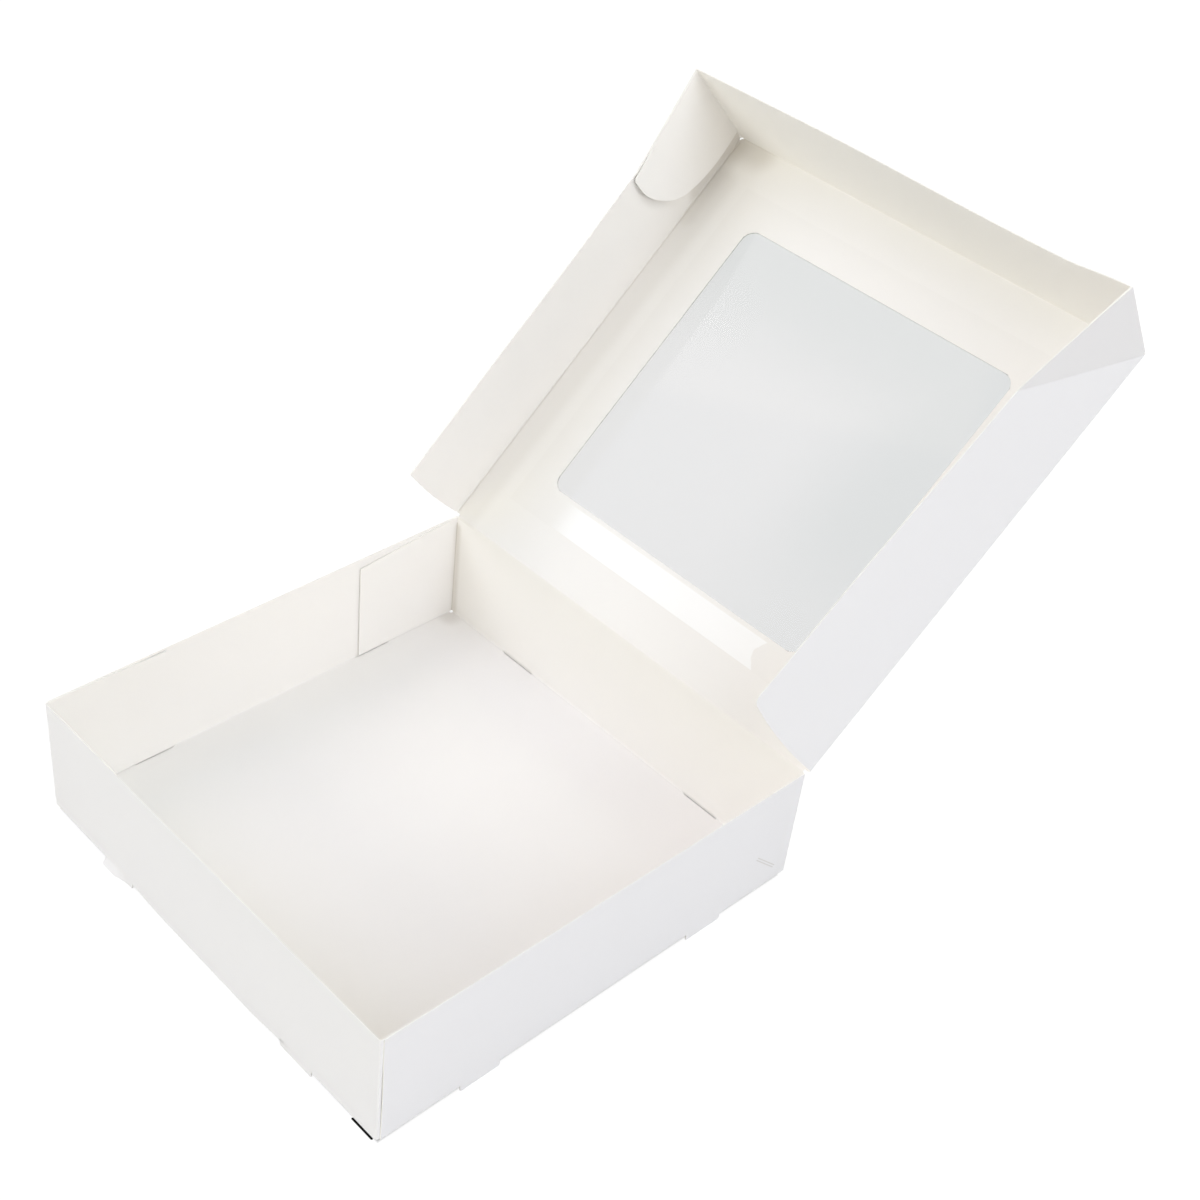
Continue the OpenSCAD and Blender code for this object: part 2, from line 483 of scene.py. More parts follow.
@dataclass(frozen=True)
class FilmFinish:
    """The clear film, open over the window or glued flat on the board.

    Attributes:
        name: The material's name.
        colour: What it scatters, linear.
        alpha: How much of what lies behind it hides.
        roughness: Roughness of its gloss.
        deep: Share of the colour that is left where it is darkest.
        glued_with_painted_highlight: Whether it is the film glued flat on the board, with a lower specular level and a
            painted highlight, a near-white band by the hinge.
        highlight_t: Where the painted highlight band starts and ends, from the hinge.
        highlight_left: Where its soft left end starts and is full.
        highlight_right: The hollow right end's innermost x, the t of that place and how fast the ends run out.
        highlight_colour: The painted highlight's colour, linear.
    """

    name: str
    colour: tuple[float, float, float]
    alpha: float
    roughness: float = 0.05
    deep: tuple[float, float, float] = (0.33, 0.46, 0.44)
    glued_with_painted_highlight: bool = False
    highlight_t: tuple[float, float] = (23.7, 39.6)
    highlight_left: tuple[float, float] = (-76.0, -58.0)
    highlight_right: tuple[float, float, float] = (65.5, 33.0, 0.06)
    highlight_colour: tuple[float, float, float] = (0.985, 0.98, 0.97)

    def highlight_band(self, s: Shader, uv: bpy.types.NodeSocket) -> bpy.types.NodeSocket:
        """The mask of the painted highlight band, which stands in for a reflection: straight long edges, a soft left
        end and a hollow right end.

        Args:
            s: The material's helper.
            uv: The UV map, in metres.

        Returns:
            1 on the band and 0 off it.
        """
        x, t = s.plane_mm(uv)
        low, high = self.highlight_t
        inmost, middle_t, spread = self.highlight_right
        ragged = s.math("MULTIPLY", s.math("SUBTRACT", s.noise(uv, 140), 0.5), 3.0)
        over = s.math("SUBTRACT", high, t)
        under = s.math("SUBTRACT", t, low)
        middle = s.math("SUBTRACT", t, middle_t)
        hollow = s.math("MULTIPLY", s.math("MULTIPLY", middle, middle), spread)
        right = s.math("SUBTRACT", s.math("ADD", s.math("ADD", hollow, inmost), ragged), x)
        mask = s.math("MULTIPLY", s.ramp(over, 0.0, 0.5, 0.0, 1.0), s.ramp(under, 0.0, 0.5, 0.0, 1.0))
        mask = s.math("MULTIPLY", mask, s.ramp(right, 0.0, 0.7, 0.0, 1.0))
        return s.math("MULTIPLY", mask, s.ramp(x, *self.highlight_left, 0.0, 1.0))

    def build(self) -> bpy.types.Material:
        """The finish as a material, a little darker towards the front and the right."""
        material, s = new_material(self.name)
        shader = s.surface(self.roughness, 0.25 if self.glued_with_painted_highlight else 0.5)
        place = s.add("ShaderNodeTexCoord").outputs["UV"]
        x, t = s.plane_mm(place)
        darker_share = s.math("MULTIPLY", s.ramp(x, 5.0, 72.0, 0.0, 1.0), s.ramp(t, 45.0, 115.0, 0.35, 1.0))
        darker_share = s.math("MAXIMUM", darker_share, s.ramp(t, 130.0, 200.0, 0.0, 1.0))
        dark = tuple(c * d for c, d in zip(self.colour, self.deep))
        colour = s.mix(darker_share, (*self.colour, 1), (*dark, 1))
        if self.glued_with_painted_highlight:
            # Painted highlight: the glued film turns near-white in a band by the hinge, standing in for a reflection.
            colour = s.mix(self.highlight_band(s, place), colour, (*self.highlight_colour, 1))
        s.link(colour, shader.inputs["Base Color"])
        shader.inputs["Alpha"].default_value = self.alpha
        material.surface_render_method = "DITHERED"
        return material


CREASE_X = 125.4
# Inside: the side creases; a painted shadow of the left flap beside the left crease; painted shade in the lid's
# front-left corner and on the left flap under its ear; a painted shadow line along the left ear's free edge; painted
# shade in the tray's back-left corner.
INNER_CREASES_AND_PAINTED_SHADE = (
    *(Mark((side * CREASE_X, 3), (side * CREASE_X, 248), 0.5, 0.5, 0.22, 0.25) for side in (-1, 1)),
    # Painted shadow of the left flap on the panel, beside the left crease.
    Mark((-119.5, 3), (-119, 225), 7.0, 8.0, 0.14),
    # Painted shade in the lid's front-left corner, on the panel.
    Mark((-124, 247), (-110, 248), 3.0, 13.0, 0.34),
    Mark((-125, 245), (-124, 200), 2.0, 9.0, 0.20),
    # Painted shade on the left flap under the ear, then a painted shadow line along the ear's free edge.
    Mark((-50, 603), (-86, 604), 5.0, 7.0, 0.34),
    Mark((-52, 663.4), (-113, 662.8), 0.5, 0.3, 1.0),
    # Painted shade in the tray's back-left corner: a soft band and a sharper line at the fold on the back wall, and a
    # patch on the floor.
    Mark((123.0, 2802), (123.6, 2858), 0.8, 4.0, 0.32),
    Mark((124.5, 2801), (124.4, 2861), 0.3, 0.5, 0.6),
    Mark((-122, -878), (-120, -880), 2.0, 8.0, 0.30),
)
# Outside: the right flap's diagonal score, painted shade on the triangle past it, and two short scuffs on the right
# wall.
OUTER_SCORES_SCUFFS_AND_PAINTED_SHADE = (
    Mark((550.5, 601), (487.5, 664), 0.4, 0.8, 0.06, 0.12),
    # Painted shade: the right flap's triangle is darker where it faces away from the light.
    Mark((567.5, 618), (504.5, 681), 47.0, 0.8, 0.13),
    *(Mark((115.0 + d, 2409.3 + d), (101.0 + d, 2422.7 + d), 0.2, 0.35, 0.45) for d in (0.0, 0.9)),
)


@dataclass
class Finishes:
    """Every material of the box, made once."""

    board: list[bpy.types.Material] = field(default_factory=list)
    film: list[bpy.types.Material] = field(default_factory=list)

    def make(self) -> "Finishes":
        """Builds the materials: outer face, inner face, raw edge, film."""
        grain, line = grain_group(), mark_group()
        self.board = [
            finish.build(grain, line)
            for finish in (
                BoardFinish("board_outer", (0.855, 0.845, 0.86), (0.84, 0.83, 0.845), 0.6, 0.5, 0.15, OUTER_SCORES_SCUFFS_AND_PAINTED_SHADE),
                BoardFinish("board_inner", (0.925, 0.905, 0.88), (0.91, 0.888, 0.857), 0.6, 0.65, 0.25, INNER_CREASES_AND_PAINTED_SHADE),
                BoardFinish("board_edge", (0.94, 0.93, 0.90), (0.87, 0.85, 0.80), 0.8, 0.8, 0.6),
            )
        ]
        self.film = [
            FilmFinish("film_open", (0.335, 0.33, 0.33), 0.20).build(),
            # The glued film holds the painted highlight band by the hinge.
            FilmFinish("film_glued", (0.905, 0.884, 0.856), 1.0, 0.45, deep=(1.0, 1.0, 1.0), glued_with_painted_highlight=True).build(),
        ]
        return self


@dataclass
class Tray:
    """The floor, four walls, glued ears and feet, all one welded sheet.

    Attributes:
        width: Outer width and depth.
        height: Height of the walls.
        crease_z: Height at which the back wall ends and the crease piece starts.
        foot_near: Distance from a corner to the nearer side of a foot.
        foot_w: Width of a foot.
        foot_h: Height of the feet.
        cut: Width of the die cut beside a foot.
        relief: Size of the opening at each corner of the floor.
        ear_len: Length of a glued ear.
        ear_drop: How far the top edge of a front and of a back ear drops towards its end.
        ear_gap: Gap between an ear's lower edge and the fold under it.
        slot: How far from the wall's outer face the floor is cut back behind a foot of the front or back wall.
        side_slot: The same for the side walls.
        sag: How far the front fold hangs down between its feet.
        corner_gap: How far the side walls' front ends stand back from the front wall's outer face.
    """

    width: float = 250.0
    height: float = 65.0
    crease_z: float = 64.0
    foot_near: float = 45.0
    foot_w: float = 22.5
    foot_h: float = 3.0
    cut: float = 0.3
    relief: float = 1.0
    ear_len: float = 66.0
    ear_drop: tuple[float, float] = (1.2, 5.5)
    ear_gap: float = 0.1
    slot: float = 1.15
    side_slot: float = 0.6
    sag: float = 2.7
    corner_gap: float = 1.8

    def marks(self) -> list[float]:
        """Places along a wall, from its middle, that need a grid line."""
        half = self.width / 2
        foot = half - self.foot_near
        found = [0, half - FOLD_R - self.relief, half - self.slot, half - self.side_slot]
        found += [foot, foot + self.cut, foot - self.foot_w, foot - self.foot_w - self.cut]
        return found

    def both(self, places: list[float]) -> list[float]:
        """The places and their mirror images."""
        return [*places, *(-p for p in places)]

    def in_slot(self, along: np.ndarray) -> np.ndarray:
        """Whether places along a wall lie in a foot's slot."""
        foot = self.width / 2 - self.foot_near
        away = np.abs(along)
        return (away < foot + self.cut) & (away > foot - self.foot_w - self.cut)

    def drop(self, x: np.ndarray, y: np.ndarray) -> np.ndarray:
        """How far the floor hangs below its plane: it sags between the front feet, and a little in the middle."""
        half = self.width / 2
        front = self.sag * smooth(np.abs(x), 68, 34) * smooth(y, -20, -half + 6)
        middle = 0.8 * bump(x, -half, half) * bump(y, -half, half)
        return -np.minimum(front + middle, self.foot_h - 0.15)

    def floor(self) -> Patch:
        """The floor, its outer face down, with the feet's slots and the corners' relief holes."""
        edge = self.width / 2 - FOLD_R
        places = lines(self.both([p for p in [*self.marks(), edge] if p <= edge]), 5)
        x, y = np.meshgrid(places, places)
        points = np.stack([x, y, self.drop(x, y)], -1)
        mx, my = np.meshgrid(middles(places), middles(places))
        half = self.width / 2
        cut = self.in_slot(mx) & (np.abs(my) > half - self.slot)
        cut |= self.in_slot(my) & (np.abs(mx) > half - self.side_slot)
        cut |= (np.abs(mx) > edge - self.relief) & (np.abs(my) > edge - self.relief)
        return Patch(points, np.stack([x, y - 1000], -1), (0, 0, -1), ~cut)

    def uv_row(self, turns: int) -> float:
        """Where a wall's strip starts on the UV map, in millimetres."""
        return 2000.0 + 400.0 * turns

    def turned(self, points: np.ndarray, turns: int) -> np.ndarray:
        """Points drawn at the front wall, turned about Z to wall number turns, anticlockwise from above."""
        angle = turns * math.pi / 2
        c, s = round(math.cos(angle)), round(math.sin(angle))
        out = points.copy()
        out[..., 0] = c * points[..., 0] - s * points[..., 1]
        out[..., 1] = s * points[..., 0] + c * points[..., 1]
        return out

    def fold_patch(self, turns: int) -> Patch:
        """The quarter-round fold under a wall, open where the feet are cut."""
        half = self.width / 2
        edge = half - FOLD_R - self.relief
        along = lines([p for p in self.both(self.marks()) if abs(p) <= edge + 1e-6], 5)
        out, up = quarter()
        x = np.repeat(along[None, :], len(out), 0)
        y = -(half - FOLD_R) - FOLD_R * out[:, None] + 0 * x
        z = FOLD_R * up[:, None] + 0 * x
        points = self.turned(np.stack([x, y, z], -1), turns)
        share = 1 - z / self.height
        base = self.turned(np.stack([x, -(half - FOLD_R) + 0 * x, 0 * x], -1), turns)
        points[..., 2] += self.drop(base[..., 0], base[..., 1]) * share
        keep = np.repeat(~self.in_slot(middles(along))[None, :], len(out) - 1, 0)
        facing = self.turned(np.array([0.0, -1.0, -1.0]), turns)
        return Patch(points, np.stack([x, y + 125 + self.uv_row(turns)], -1), tuple(facing), keep)

    def wall_points(self, x: np.ndarray, z: np.ndarray, turns: int) -> np.ndarray:
        """Points of a wall's outer face, turned to its place, with the sag of the fold below it."""
        half = self.width / 2
        points = self.turned(np.stack([x, -half + 0 * x, z], -1), turns)
        base = self.turned(np.stack([x, -(half - FOLD_R) + 0 * x, 0 * x], -1), turns)
        share = np.clip(1 - z / 30, 0, 1) ** 1.5
        share = np.where(z < FOLD_R + 0.001, 1 - z / self.height, share)
        points[..., 2] += self.drop(base[..., 0], base[..., 1]) * share
        return points

    def side_wall(self, turns: int) -> Patch:
        """A side wall: raw at both ends, which stand a little off the corner folds."""
        half = self.width / 2
        end, front = half - 0.3, half - self.corner_gap
        marks = [p for p in self.both([*self.marks(), half - FOLD_R]) if abs(p) < front]
        turn = 1 if turns == 1 else -1
        along = lines([*marks, turn * end, -turn * front], 5)
        high = lines([FOLD_R, self.height], 4)
        x, z = np.meshgrid(along, high)
        points = self.wall_points(x, z, turns)
        near_end = smooth(np.abs(points[..., 1]), half - 22, half - 1) * (points[..., 1] < 0)
        off = 0.35 * near_end * bump(z, -5, 60)
        points[..., 0] += off * np.sign(points[..., 0])
        facing = self.turned(np.array([0.0, -1.0, 0.0]), turns)
        return Patch(points, np.stack([x, z + self.uv_row(turns)], -1), tuple(facing))

    def ear_wall(self, turns: int, top: float) -> Patch:
        """The front or back wall with its corner folds and ears in one strip."""
        half = self.width / 2
        span = half - BOARD
        flat = span - FOLD_R
        marks = [p for p in self.both(self.marks()) if abs(p) < flat - 0.5]
        along = lines([*marks, flat, -flat], 5)
        out, up = quarter()
        arc = (flat + FOLD_R * out[1:], -half + FOLD_R * up[1:])
        ear = lines([FOLD_R, FOLD_R + 1, self.ear_len - 8, self.ear_len], 4)[1:]
        lift = 0.35 * smooth(ear, self.ear_len - 25, self.ear_len)
        x = np.concatenate([arc[0], span - lift])
        y = np.concatenate([arc[1], -half + ear])
        x = np.concatenate([-x[::-1], along, x])
        y = np.concatenate([y[::-1], np.full(len(along), -half), y])
        step = np.hypot(np.diff(x), np.diff(y))
        run = np.concatenate([[0], np.cumsum(step)])
        low = FOLD_R
        gap = self.ear_gap / (top - low)
        share = np.concatenate([[0, gap], np.linspace(gap, 1, 17)[1:]])
        away = np.clip(y + half, 0, None)
        peak = np.where(
            np.abs(x) > flat + 1e-6, self.height - self.ear_drop[turns // 2] * away / self.ear_len, top
        )
        z = low + share[:, None] * (peak[None, :] - low)
        grid_x, grid_y = (np.repeat(a[None, :], len(share), 0) for a in (x, y))
        points = self.turned(np.stack([grid_x, grid_y, z], -1), turns)
        in_wall = (np.abs(grid_x) <= flat + 1e-6)[..., None]
        points = np.where(in_wall, self.wall_points(grid_x, z, turns), points)
        keep = np.ones((len(share) - 1, len(x) - 1), bool)
        keep[0] = np.abs(middles(x)) < flat
        keep[0] &= np.abs(middles(y) + half) < 1e-6
        uv = np.stack([np.repeat(run[None, :], len(share), 0) - run[-1] / 2, z + self.uv_row(turns)], -1)
        facing = self.turned(np.array([0.0, -1.0, 0.0]), turns)
        return Patch(points, uv, tuple(facing), keep)

    def foot(self, turns: int, side: Side) -> Patch:
        """One foot below a wall, with rounded lower corners. The front wall's left foot is bent out."""
        half = self.width / 2
        outer = half - self.foot_near
        inner = outer - self.foot_w
        along = lines([inner, inner + 0.3, inner + 1, outer - 1, outer - 0.3, outer], 3) * side.value
        along = np.sort(along)
        from_side = np.minimum(np.abs(np.abs(along) - outer), np.abs(np.abs(along) - inner))
        round_up = 1 - np.sqrt(1 - (1 - np.clip(from_side, 0, 1)) ** 2)
        share = np.linspace(0, 1, 7)
        low = -self.foot_h + round_up
        z = low + share[:, None] * (FOLD_R - low)
        x = np.repeat(along[None, :], len(share), 0)
        points = self.turned(np.stack([x, -half + 0 * x, z], -1), turns)
        if turns == 0 and side is Side.LEFT:
            bent = smooth(x, -66, -68.5) * 0.75 + 0.25 * smooth(x, -57, -66)
            points[..., 1] -= 2.2 * bent * np.clip((FOLD_R - z) / 4, 0, 1) ** 1.3
        facing = self.turned(np.array([0.0, -1.0, 0.0]), turns)
        return Patch(points, np.stack([x, z + self.uv_row(turns)], -1), tuple(facing))

    def build(self, finishes: Finishes) -> bpy.types.Object:
        """The tray as one piece on the tray's body."""
        patches = [self.floor()]
        for turns in range(4):
            patches.append(self.fold_patch(turns))
            if turns % 2:
                patches.append(self.side_wall(turns))
            else:
                patches.append(self.ear_wall(turns, self.crease_z if turns == 2 else self.height))
            patches += [self.foot(turns, side) for side in Side]
        obj = board_piece("tray_board", patches, finishes, "tray")
        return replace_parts(obj, "tray")


def dress(obj: bpy.types.Object, materials: list[bpy.types.Material], body: str) -> None:
    """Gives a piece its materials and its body."""
    for material in materials:
        obj.data.materials.append(material)
    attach(obj, body)


def board_piece(name: str, patches: list[Patch], finishes: Finishes, body: str) -> bpy.types.Object:
    """A piece of board that rides a body, with its thickness and its finishes."""
    obj = mesh_from(name, patches)
    thicken(obj, BOARD)
    dress(obj, finishes.board, body)
    return obj


@dataclass(frozen=True)
class LidFrame:
    """The lid's own directions: x along the hinge, t from the hinge along the panel, n out of its inner face.

    Attributes:
        angle: How far the lid is open, in degrees.
        hinge: A point on the hinge's axis.
        length: From the hinge to the front flap's outer face.
        half: Half the lid's width.
        flap: Height of the flaps.
        widen: How much wider each side is at the front than at the hinge.
        skew: How much further the front edge lies at the left and at the right.
        lift: How far the right front corner is lifted off the tray when the lid is closed.
        splay: How much further the front flap's free corners lie than its fold, at the left and at the right.
        flare: How much further out the front flap's free edge reaches than its fold, at the left and at the right.
    """

    angle: float = 139.5
    hinge: tuple[float, float, float] = (0.0, 124.75, 65.55)
    length: float = 251.75
    half: float = 126.75
    flap: float = 64.0
    widen: float = 3.5
    skew: tuple[float, float] = (2.6, -1.1)
    lift: float = 3.0
    splay: tuple[float, float] = (-1.5, 2.0)
    flare: tuple[float, float] = (2.0, 3.3)

    @property
    def axes(self) -> tuple[np.ndarray, np.ndarray]:
        """The directions of t and n in the row frame."""
        a = math.radians(self.angle)
        return (
            np.array([0, -math.cos(a), math.sin(a)]),
            np.array([0, -math.sin(a), -math.cos(a)]),
        )

    def place(self, x: np.ndarray, t: np.ndarray, n: np.ndarray) -> np.ndarray:
        """Points of the lid in the row frame, with the lid's slight taper, skew and twist.

        Args:
            x: Places along the hinge.
            t: Places from the hinge along the panel.
            n: Heights over the panel's middle plane, on its inner side.

        Returns:
            The points, with a last axis of 3.
        """
        x, t, n = np.broadcast_arrays(*(np.asarray(a, float) for a in (x, t, n)))
        s = t / self.length
        across = x / self.half
        left, right = self.skew
        back, fore = self.splay
        roll = self.lift / 2 / self.half * s
        t2 = t + s * ((left + right) / 2 + (right - left) / 2 * across)
        t2 = t2 + s**4 * n / self.flap * ((back + fore) / 2 + (fore - back) / 2 * across)
        x2 = x + self.widen * s * across + roll * n
        flare = np.where(x < 0, *self.flare)
        x2 = x2 + flare * s**4 * across * np.clip(n, 0, None) / self.flap
        n2 = n - self.lift / 2 * s * (1 + across)
        u, v = self.axes
        return (
            np.array(self.hinge)
            + x2[..., None] * np.array([1.0, 0, 0])
            + t2[..., None] * u
            + n2[..., None] * v
        )

    def flap_axis(self, side: Side) -> tuple[list[float], list[float]]:
        """A direction in the panel's plane, square to a side flap's fold and pointing outward, and a point of the
        flap's plane at the hinge, in metres.
        """
        u, _ = self.axes
        slope = math.atan2(self.widen, self.length)
        axis = np.array([math.cos(slope) * side.value, 0, 0]) - math.sin(slope) * u
        anchor = self.place(side.value * self.half, 0.0, 0.0)
        return axis.tolist(), (anchor * MM).tolist()


@dataclass(frozen=True)
class FlapShape:
    """How one side flap hangs in the photo.

    Attributes:
        side: Which side of the lid.
        lean_back: How far its free edge leans in at the hinge.
        lean_kink: How far it leans in where the diagonal score meets the free edge.
        back: Distance of its back edge from the hinge line, at the panel and at the free edge.
        corner: Radius of its free back corner.
        belly: How far its back edge bulges back in the middle.
    """

    side: Side
    lean_back: float
    lean_kink: float
    back: tuple[float, float]
    corner: float
    belly: float

    def lean(self, lid: LidFrame, t: np.ndarray, n: np.ndarray, n0: float) -> np.ndarray:
        """How far a point of the flap leans in: a plane that twists up to the diagonal score, then a flat triangle."""
        kink = lid.length - lid.flap
        share = np.clip((n - n0) / (lid.flap - n0), 0, None)
        main = self.lean_back + (self.lean_kink - self.lean_back) * np.clip(t / kink, 0, 1)
        triangle = self.lean_kink * (lid.length - t) / (lid.flap - n0)
        return np.minimum(main * share, np.clip(triangle, 0, None))


@dataclass
class LidFlap:
    """A side flap, which leans in while the lid is open."""

    lid: LidFrame
    shape: FlapShape
    start: float = 0.8

    def build(self, finishes: Finishes) -> bpy.types.Object:
        """The flap as one piece on the lid's body."""
        lid, shape, side = self.lid, self.shape, self.shape.side
        top = lid.flap + 0.25
        n = np.unique(np.concatenate([
            lines([self.start, 2.5, top - 4], 3.5), top - np.array([3, 2, 1.2, 0.6, 0.25, 0])
        ]))
        share = (n - self.start) / (top - self.start)
        back = shape.back[0] + (shape.back[1] - shape.back[0]) * share**2.2
        back = back - shape.belly * np.sin(share * np.pi)
        if shape.corner:
            into = np.clip(n - (top - shape.corner), 0, shape.corner)
            back = back + shape.corner - np.sqrt(np.clip(shape.corner**2 - into**2, 0, None))
        front = lid.length - 0.3
        diagonal = lid.length - n
        pieces = [
            np.linspace(0, 1, 61)[None, :] * (diagonal - 0.5 - back)[:, None] + back[:, None],
            diagonal[:, None] + np.array([-0.25, 0, 0.25, 0.5])[None, :],
            np.linspace(0, 1, 18)[None, 1:] * (front - diagonal - 0.5)[:, None] + (diagonal + 0.5)[:, None],
        ]
        t = np.minimum(np.concatenate(pieces, 1), front)
        t = np.maximum.accumulate(t, 1)
        n_grid = np.repeat(n[:, None], t.shape[1], 1)
        lean = shape.lean(lid, t, n_grid, self.start)
        wave = 0.25 * np.sin(t / 23 + side.value) * smooth(n_grid, 40, top)
        x = side.value * (lid.half - lean + wave * smooth(t, 0, 30) * smooth(t, 190, 150))
        points = lid.place(x, t, n_grid)
        uv = np.stack([t + 300 * side.value, n_grid + 600], -1)
        obj = board_piece(f"lid_flap_{side.word}", [Patch(points, uv, (side.value, 0, 0))], finishes, "lid")
        axis, anchor = lid.flap_axis(side)
        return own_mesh(obj)


@dataclass
class LidEar:
    """An ear of the front flap, glued inside the front end of a side flap. It stands straight past the diagonal score.

    Attributes:
        ends: Where the ear starts and where its round end is, from the hinge.
        outline: Places from the hinge and heights of the ear's lower edge, towards the panel.
        drop: How far its free edge drops towards its end.
        loose: How far its end stands off the side flap.
    """

    lid: LidFrame
    shape: FlapShape
    ends: tuple[float, float] = (250.7, 185.2)
    outline: tuple[tuple[float, ...], tuple[float, ...]] = (
        (185.2, 185.5, 186.6, 189.3, 193.7, 198.0, 203.3, 209.0, 216.3, 224.0, 232.8, 241.0, 250.7),
        (54.0, 49.0, 44.5, 37.5, 29.5, 23.8, 19.0, 15.6, 12.4, 10.0, 8.2, 7.3, 7.0),
    )
    drop: float = 1.2
    loose: float = 0.5

    def build(self, finishes: Finishes) -> bpy.types.Object:
        """The ear as one piece on the lid's body."""
        lid, shape, side = self.lid, self.shape, self.shape.side
        top = lid.flap + 0.25
        start, end = self.ends
        t = end + (start - end) * np.linspace(1, 0, 45) ** 1.8
        low = np.interp(t, *self.outline)
        low = np.concatenate([low[:1], (low[:-2] + 2 * low[1:-1] + low[2:]) / 4, low[-1:]])
        high = top - self.drop * (start - t) / (start - end) - 1.5 * smooth(t, end + 1.2, end)
        share = np.linspace(0, 1, 17)
        n = low[None, :] + share[:, None] * (high - low)[None, :]
        t_grid = np.repeat(t[None, :], len(share), 0)
        lean = shape.lean_kink * (start - t_grid) / lid.flap
        off = self.loose * smooth(t_grid, end + 30, end)
        x = side.value * (lid.half - BOARD - 0.02 - lean - off)
        points = lid.place(x, t_grid, n)
        uv = np.stack([t_grid + 300 * side.value + 90, n + 600], -1)
        obj = board_piece(f"lid_ear_{side.word}", [Patch(points, uv, (side.value, 0, 0))], finishes, "lid")
        axis, anchor = lid.flap_axis(side)
        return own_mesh(obj)


@dataclass(frozen=True)
class Window:
    """The window cut in the lid's panel.

    Attributes:
        half: Half its width.
        span: Where it starts and ends, from the hinge.
        middle_x: Its middle along the hinge.
        radius: Radius of its corners.
    """

    half: float = 85.75
    span: tuple[float, float] = (41.6, 210.75)
    middle_x: float = -1.2
    radius: float = 7.0

    def outside(self, x: np.ndarray, t: np.ndarray) -> np.ndarray:
        """Whether places of the panel lie outside the window, with its round corners."""
        low, high = self.span
        over_x = np.abs(x - self.middle_x) - self.half + self.radius
        over_t = np.abs(t - (low + high) / 2) - (high - low) / 2 + self.radius
        in_corner = np.minimum(over_x, over_t) > 0
        return (np.maximum(over_x, over_t) > self.radius) | (in_corner & (np.hypot(over_x, over_t) > self.radius))

    def side(self, count: int, length: float) -> np.ndarray:
        """Points of one side of the window from the middle of one round corner to the middle of the next.

        Args:
            count: How many points.
            length: The side's full length.

        Returns:
            Count by 2: place along the side from its middle, and place inward from the side's line.
        """
        r = self.radius
        arc = r * np.pi / 4
        straight = length - 2 * r
        run = np.linspace(0, 2 * arc + straight, count)
        angle_a = np.pi / 4 - run / r
        angle_b = (run - arc - straight) / r
        along = np.where(
            run < arc,
            -straight / 2 - r * np.sin(angle_a),
            np.where(run > arc + straight, straight / 2 + r * np.sin(angle_b), run - arc - straight / 2),
        )
        inward = np.where(
            run < arc,
            r - r * np.cos(angle_a),
            np.where(run > arc + straight, r - r * np.cos(angle_b), 0),
        )
        return np.stack([along, inward], -1)


